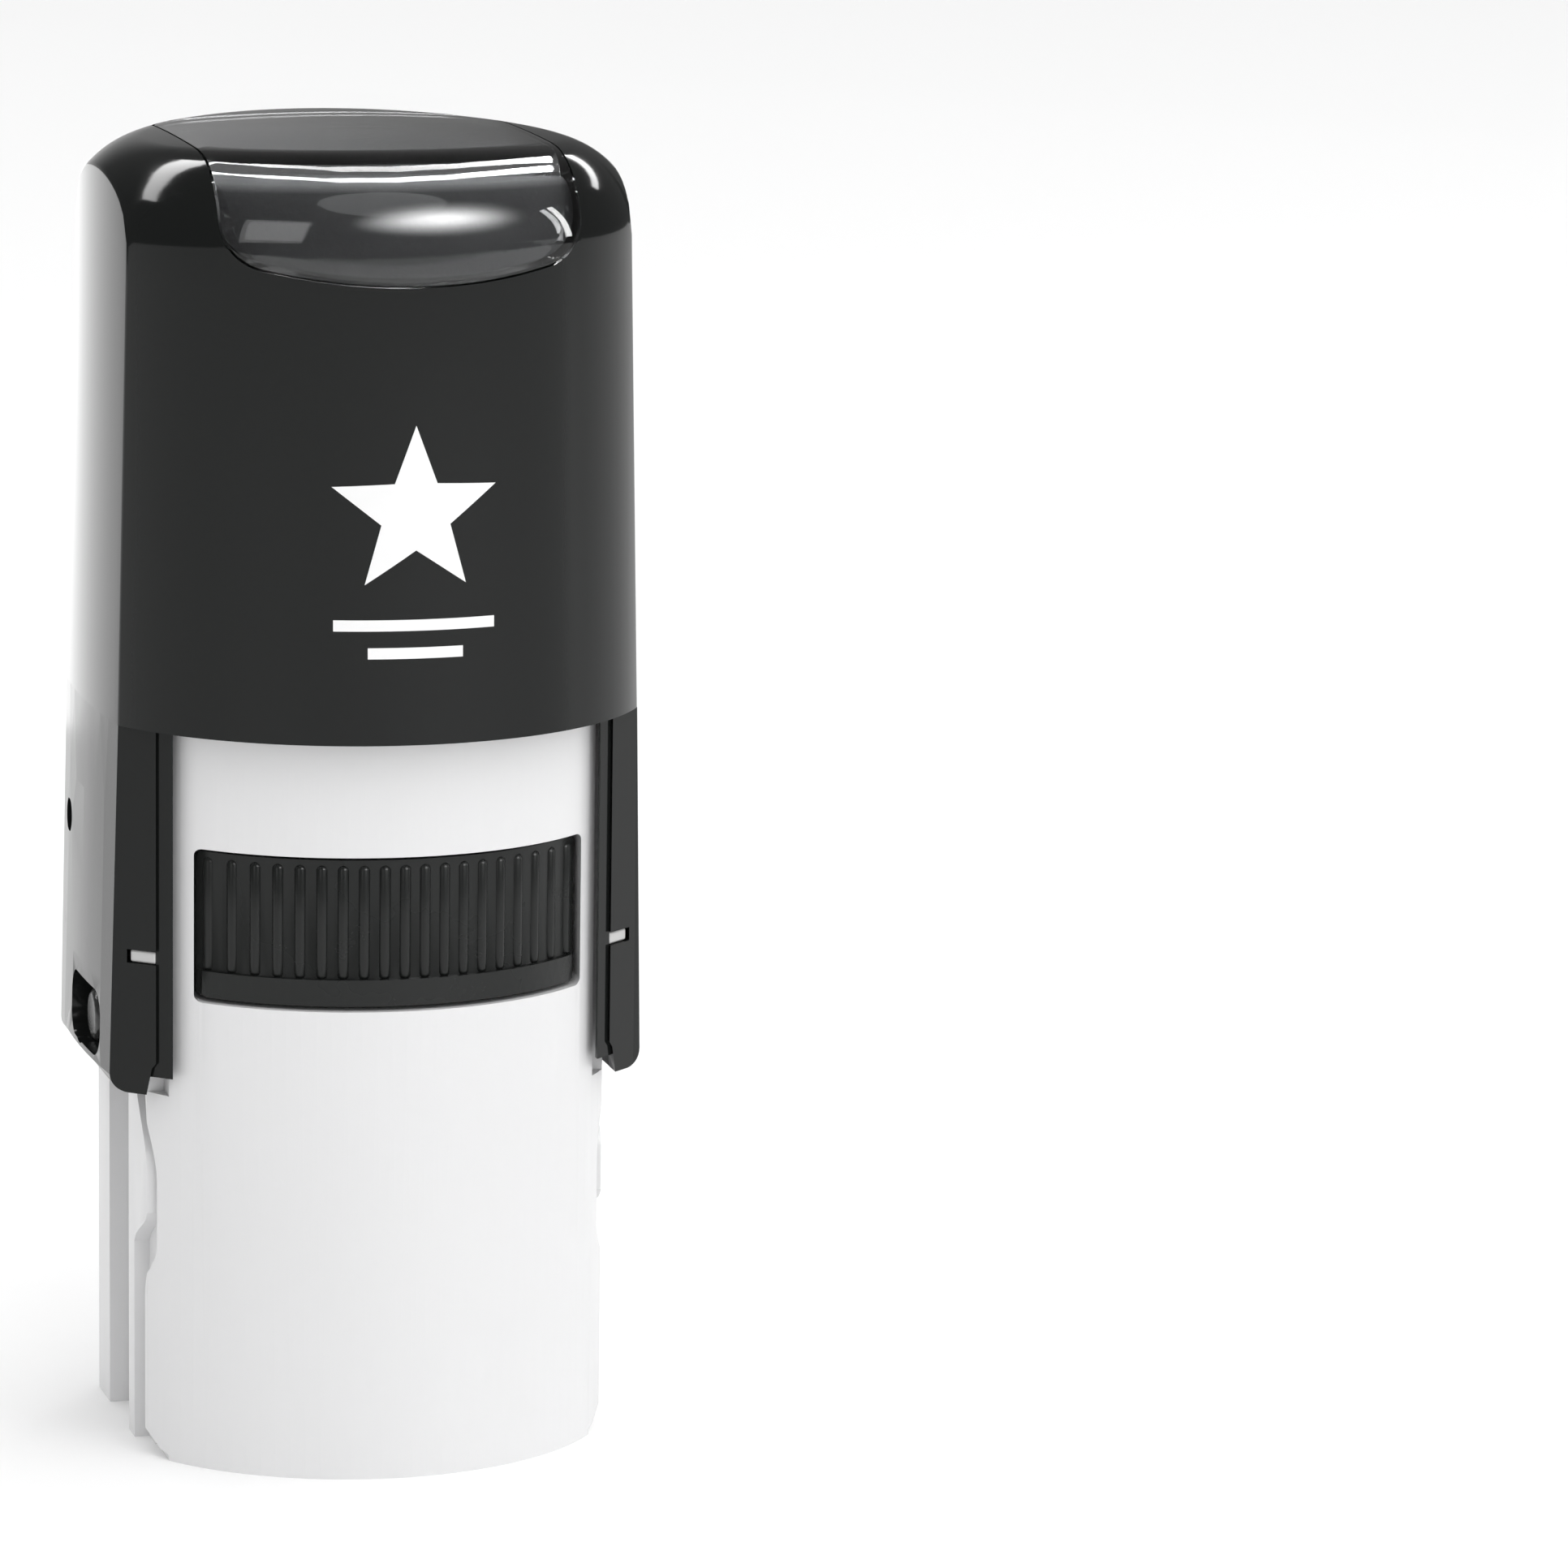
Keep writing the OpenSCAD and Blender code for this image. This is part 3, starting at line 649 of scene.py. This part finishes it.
# The coiled return spring, with its end turns lying flat
tree, given, result = newTree("coil", [
    ("Turns", "NodeSocketFloat", 8.0),
    ("Coil Radius", "NodeSocketFloat", 0.0045),
    ("Wire Radius", "NodeSocketFloat", 0.0005),
    ("Bottom", "NodeSocketFloat", 0.0),
    ("Top", "NodeSocketFloat", 0.03),
    ("Closed", "NodeSocketFloat", 0.06),
    ("Material", "NodeSocketMaterial", None)])
link = tree.links.new
coil = tree.nodes.new("GeometryNodeCurveSpiral")
coil.inputs["Resolution"].default_value = spring["stepsPerTurn"]
coil.inputs["Height"].default_value = 0.0
link(given.outputs["Turns"], coil.inputs["Rotations"])
link(given.outputs["Coil Radius"], coil.inputs["Start Radius"])
link(given.outputs["Coil Radius"], coil.inputs["End Radius"])
along = tree.nodes.new("GeometryNodeSplineParameter")
rise = tree.nodes.new("ShaderNodeMapRange")
link(along.outputs["Factor"], rise.inputs["Value"])
link(given.outputs["Closed"], rise.inputs["From Min"])
link(mathNode(tree, "SUBTRACT", 1.0, given.outputs["Closed"]), rise.inputs["From Max"])
link(given.outputs["Bottom"], rise.inputs["To Min"])
link(given.outputs["Top"], rise.inputs["To Max"])
upward = tree.nodes.new("ShaderNodeCombineXYZ")
link(rise.outputs["Result"], upward.inputs["Z"])
raised = tree.nodes.new("GeometryNodeSetPosition")
link(coil.outputs["Curve"], raised.inputs["Geometry"])
link(upward.outputs["Vector"], raised.inputs["Offset"])
ringShape = tree.nodes.new("GeometryNodeCurvePrimitiveCircle")
ringShape.inputs["Resolution"].default_value = spring["wireSides"]
link(given.outputs["Wire Radius"], ringShape.inputs["Radius"])
tube = tree.nodes.new("GeometryNodeCurveToMesh")
tube.inputs["Fill Caps"].default_value = True
link(raised.outputs["Geometry"], tube.inputs["Curve"])
link(ringShape.outputs["Curve"], tube.inputs["Profile Curve"])
real = tree.nodes.new("GeometryNodeRealizeInstances")
link(tube.outputs["Mesh"], real.inputs["Geometry"])
coat = tree.nodes.new("GeometryNodeSetMaterial")
link(real.outputs["Geometry"], coat.inputs["Geometry"])
link(given.outputs["Material"], coat.inputs["Material"])
link(coat.outputs["Geometry"], result.inputs["Geometry"])
springCoil = grown("springCoil", tree, {
    "Turns": spring["turns"], "Coil Radius": spring["radius"] * mm, "Wire Radius": spring["wire"] / 2 * mm,
    "Bottom": (spring["seatZ"] + spring["lift"]) * mm, "Top": (spring["capZ"] - spring["lift"]) * mm,
    "Closed": spring["closed"],
    "Material": springSteel})
finishMesh(springCoil, springSteel, 50)
settle(springCoil, bodyOf["return_spring"], slots["return_spring"], "return_spring")
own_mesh(springCoil)
print("stage: spring")

tick = {
    "inner": (12.80, -9.13),   # ends of the slot piece on the flange's flat face
    "outer": (14.02, -8.06),
    "lowZ": 28.08,
    "highZ": 28.77,
    "sunk": 0.12,
    "deep": 0.55,
}

# Pieces in the slots of the four leg flanges, standing for the white base seen through the slots; their
# grey is painted shade inside the slots
for sx in (-1, 1):
    for sy in (-1, 1):
        (x0, y0), (x1, y1) = tick["inner"], tick["outer"]
        run = math.hypot(x1 - x0, y1 - y0)
        nx, ny = -(y1 - y0) / run, (x1 - x0) / run
        near, far = tick["sunk"], tick["deep"]
        quad = [(x0, y0, near), (x1, y1, near), (x1, y1, far), (x0, y0, far)]
        outline = [(sx * (x + nx * d), -sy * (y + ny * d)) for x, y, d in quad]
        slotFill = prism(f"legSlotFill_{'r' if sx > 0 else 'l'}{'b' if sy > 0 else 'f'}", outline, "z",
                     tick["lowZ"], tick["highZ"])
        finishMesh(slotFill, slotShadeWhite, 40)
        addBevel(slotFill, 0.15, 3, 40)
        baked(slotFill)
        settle(slotFill, "cap", "base_white", "stirrup")
print("stage: marks")

look = {
    "world": 1.08,            # for what isn't mirrored
    "mirroredWorld": 0.11,    # what glossy pieces see above the floor
    "backdrop": 0.25,         # added to the world where the camera sees it
    "sideFall": 0.36,         # how much dimmer the world is on the left, brighter on the right
    "floorColor": (0.95, 0.95, 0.95),
}

bm = bmesh.new()
bmesh.ops.create_grid(bm, x_segments=1, y_segments=1, size=3.0)
floor = linkMesh("floor", bm)
floorMat, floorTree, floorShader = newMaterial("floorPale")
floorShader.inputs["Base Color"].default_value = (*look["floorColor"], 1)
floorShader.inputs["Roughness"].default_value = 0.6
finishMesh(floor, floorMat)

world = bpy.data.worlds.new("studio")
world.use_nodes = True
skyTree = world.node_tree
sky = skyTree.nodes["Background"]
sky.inputs["Color"].default_value = (1, 1, 1, 1)
raySort = skyTree.nodes.new("ShaderNodeLightPath")
strength = skyTree.nodes.new("ShaderNodeMapRange")
strength.inputs["To Min"].default_value = look["world"]
strength.inputs["To Max"].default_value = look["mirroredWorld"]
skyTree.links.new(raySort.outputs["Is Glossy Ray"], strength.inputs["Value"])
skyCoord = skyTree.nodes.new("ShaderNodeTexCoord")
skyAxes = skyTree.nodes.new("ShaderNodeSeparateXYZ")
skyTree.links.new(skyCoord.outputs["Generated"], skyAxes.inputs["Vector"])
slope = mathNode(skyTree, "MULTIPLY", skyAxes.outputs["X"], look["world"] * look["sideFall"])
slope = mathNode(skyTree, "MULTIPLY", slope, raySort.outputs["Is Diffuse Ray"])
sideways = mathNode(skyTree, "ADD", strength.outputs["Result"], slope)
seen = mathNode(skyTree, "MULTIPLY", raySort.outputs["Is Camera Ray"], look["backdrop"])
skyTree.links.new(mathNode(skyTree, "ADD", sideways, seen), sky.inputs["Strength"])
bpy.context.scene.world = world


def areaLight(name, place, target, size, power, glossy=True, diffuse=True):
    data = bpy.data.lights.new(name, "AREA")
    data.shape = "DISK"
    data.size = size[0]
    if len(size) > 1:
        data.shape = "RECTANGLE"
        data.size_y = size[1]
    data.energy = power
    obj = bpy.data.objects.new(name, data)
    obj.location = place
    obj.rotation_euler = (Vector(target) - Vector(place)).to_track_quat("-Z", "Y").to_euler()
    obj.visible_glossy = glossy
    obj.visible_diffuse = diffuse
    bpy.context.scene.collection.objects.link(obj)
    return obj


areaLight("fillLight", (0.06, -0.42, 0.85), (0, 0, 0.03), (0.7,), 1.8, glossy=False)
# Lights that show only as mirror images in the glossy pieces
areaLight("quadLight", (-0.44, -0.44, 0.27), (0, 0, 0.068), (0.30, 0.27), 0.42, diffuse=False)
areaLight("endLight", (0.78, -0.09, 0.27), (0, 0, 0.068), (0.05, 0.34), 0.8, diffuse=False)
areaLight("shoulderLight", (0.50, 0.56, 0.36), (0, 0, 0.068), (0.38, 0.045), 0.42, diffuse=False)


# A glow that only mirrors show; with a soft edge it fades to nothing away from its middle
def glowOnly(panel, power, softEdge):
    mat = bpy.data.materials.new(panel.name)
    mat.use_nodes = True
    nodes, links = mat.node_tree.nodes, mat.node_tree.links
    nodes.remove(nodes["Principled BSDF"])
    glow = nodes.new("ShaderNodeEmission")
    glow.inputs["Strength"].default_value = power
    if softEdge:
        coord = nodes.new("ShaderNodeTexCoord")
        fade = nodes.new("ShaderNodeTexGradient")
        fade.gradient_type = "QUADRATIC_SPHERE"
        links.new(coord.outputs["Object"], fade.inputs["Vector"])
        links.new(mathNode(mat.node_tree, "MULTIPLY", fade.outputs["Fac"], power), glow.inputs["Strength"])
    clear = nodes.new("ShaderNodeBsdfTransparent")
    both = nodes.new("ShaderNodeAddShader")
    links.new(glow.outputs["Emission"], both.inputs[0])
    links.new(clear.outputs["BSDF"], both.inputs[1])
    links.new(both.outputs["Shader"], nodes["Material Output"].inputs["Surface"])
    finishMesh(panel, mat)
    panel.visible_camera = False
    panel.visible_diffuse = False
    panel.visible_shadow = False
    return panel


def softPanel(name, place, target, size, power):
    bm = bmesh.new()
    bmesh.ops.create_grid(bm, x_segments=1, y_segments=1, size=1.0)
    panel = linkMesh(name, bm)
    panel.scale = (size[0] / 2, size[1] / 2, 1)
    panel.location = place
    panel.rotation_euler = (Vector(target) - Vector(place)).to_track_quat("Z", "Y").to_euler()
    return glowOnly(panel, power, True)


# The long overhead lamp, bent round behind the stamp, wider where it is farther away
lamp = {
    "height": 0.67,
    "power": 11.0,
    "path": [(-0.9, 0.48), (-0.5, 0.53), (-0.3, 0.62), (-0.12, 0.70), (-0.09, 0.43), (0.0, 0.22),
             (0.12, 0.20), (0.25, 0.30), (0.38, 0.51), (0.6, 0.95)],
    "halfWidth": 0.06,
    "widening": 0.12,
}
bm = bmesh.new()
pairs = []
for x, y in lamp["path"]:
    w = lamp["halfWidth"] + lamp["widening"] * y * y
    pairs.append([bm.verts.new((x, y + side * w, lamp["height"])) for side in (1, -1)])
for one, two in zip(pairs, pairs[1:]):
    bm.faces.new((one[0], two[0], two[1], one[1]))
glowOnly(linkMesh("bentLamp", bm), lamp["power"], False)


softPanel("frontPanel", (0.34, -0.66, 0.50), (0, 0, 0.068), (1.35, 0.72), 20.0)
softPanel("sidePanel", (-0.02, 0.22, 0.03), (-0.0145, 0, 0.045), (0.24, 0.30), 1.35)
bpy.context.scene.view_settings.view_transform = "Standard"

view = {
    "place": (-0.08875, -0.39987, 0.11560),
    "azimuth": -15.9,
    "elevation": 10.983,
    "roll": 0.883,
    "lens": 171.8,
}
az, el, roll = (math.radians(view[k]) for k in ("azimuth", "elevation", "roll"))
right = Vector((math.cos(az), math.sin(az), 0))
back = Vector((math.sin(az) * math.cos(el), -math.cos(az) * math.cos(el), math.sin(el)))
up = back.cross(right)
turnedRight = right * math.cos(roll) + up * math.sin(roll)
turnedUp = up * math.cos(roll) - right * math.sin(roll)
camData = bpy.data.cameras.new("camera")
camData.lens = view["lens"]
camData.sensor_width = 36
camData.clip_start = 0.01
camera = bpy.data.objects.new("camera", camData)
camera.matrix_world = Matrix((
    (turnedRight.x, turnedUp.x, back.x, view["place"][0]),
    (turnedRight.y, turnedUp.y, back.y, view["place"][1]),
    (turnedRight.z, turnedUp.z, back.z, view["place"][2]),
    (0, 0, 0, 1)))
bpy.context.scene.collection.objects.link(camera)
bpy.context.scene.camera = camera
print("stage: camera")
